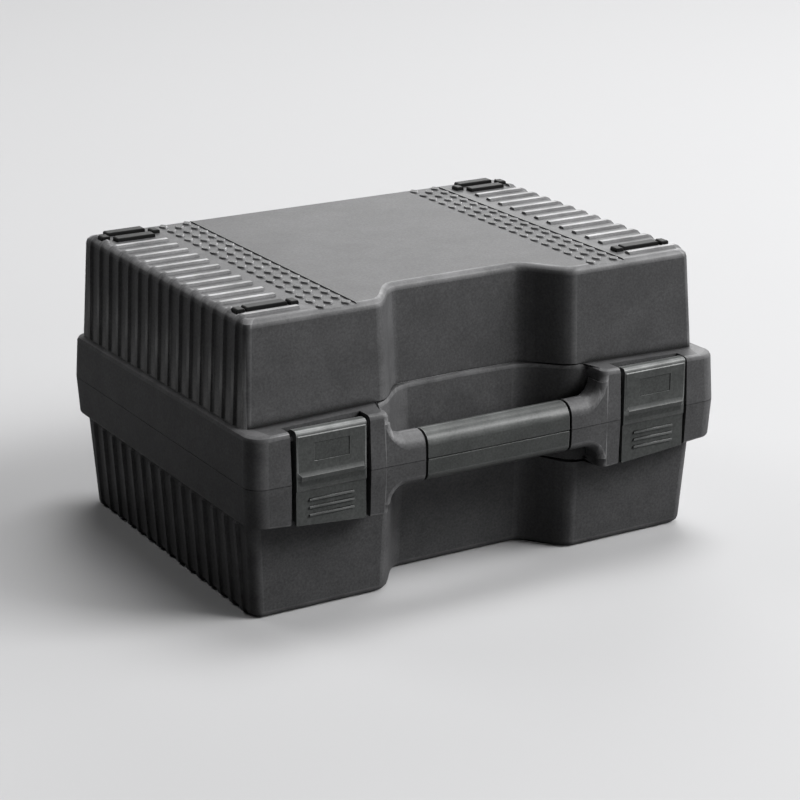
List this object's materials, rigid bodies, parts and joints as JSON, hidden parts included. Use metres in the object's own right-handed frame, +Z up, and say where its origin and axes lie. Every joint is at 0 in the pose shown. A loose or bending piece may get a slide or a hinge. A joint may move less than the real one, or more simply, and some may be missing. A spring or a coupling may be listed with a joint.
{
  "type": "hard tool case",
  "caption": "Moulded hard tool case with a hinged lid, two lever latches, a split carrying handle in a front recess, ribbed sides and stacking feet.",
  "frame": {"origin": "middle of the underside that the case stands on, on the midline of the rim band", "axes": "+X to the right along the front, +Y from the handle to the hinges, +Z up"},
  "size_m": [0.36, 0.2939, 0.2001],
  "materials": {
    "shell": "fine moulded grain, matt black polypropylene",
    "latch": "fine grain, slightly lighter black polypropylene",
    "grip": "fine grain, satin where hands rub it",
    "stacking_foot": "matt black rubber",
    "steel_pin": "drawn wire"
  },
  "bodies": {
    "base": {"base_shell": "shell", "grip_lower": "grip", "hinge_pin_left": "steel_pin", "hinge_pin_right": "steel_pin"},
    "lid": {"lid_shell": "shell", "grip_upper": "grip", "latch_pin_left": "steel_pin", "latch_pin_right": "steel_pin", "foot_back_left": "stacking_foot", "foot_back_right": "stacking_foot", "foot_front_left": "stacking_foot", "foot_front_right": "stacking_foot"},
    "left_latch": {"latch_left": "latch"},
    "right_latch": {"latch_right": "latch"}
  },
  "joints": [
    {"name": "lid_hinge", "type": "hinge", "parent": "base", "child": "lid", "pos_m": [0, 0.1455, 0.096], "axis": [-1, 0, 0], "range_deg": [0, 105]},
    {"name": "left_latch_pivot", "type": "hinge", "parent": "lid", "child": "left_latch", "pos_m": [-0.124, -0.13495, 0.12437], "axis": [-1, 0, 0], "range_deg": [0, 90]},
    {"name": "right_latch_pivot", "type": "hinge", "parent": "lid", "child": "right_latch", "pos_m": [0.124, -0.13495, 0.12437], "axis": [-1, 0, 0], "range_deg": [0, 90]}
  ]
}
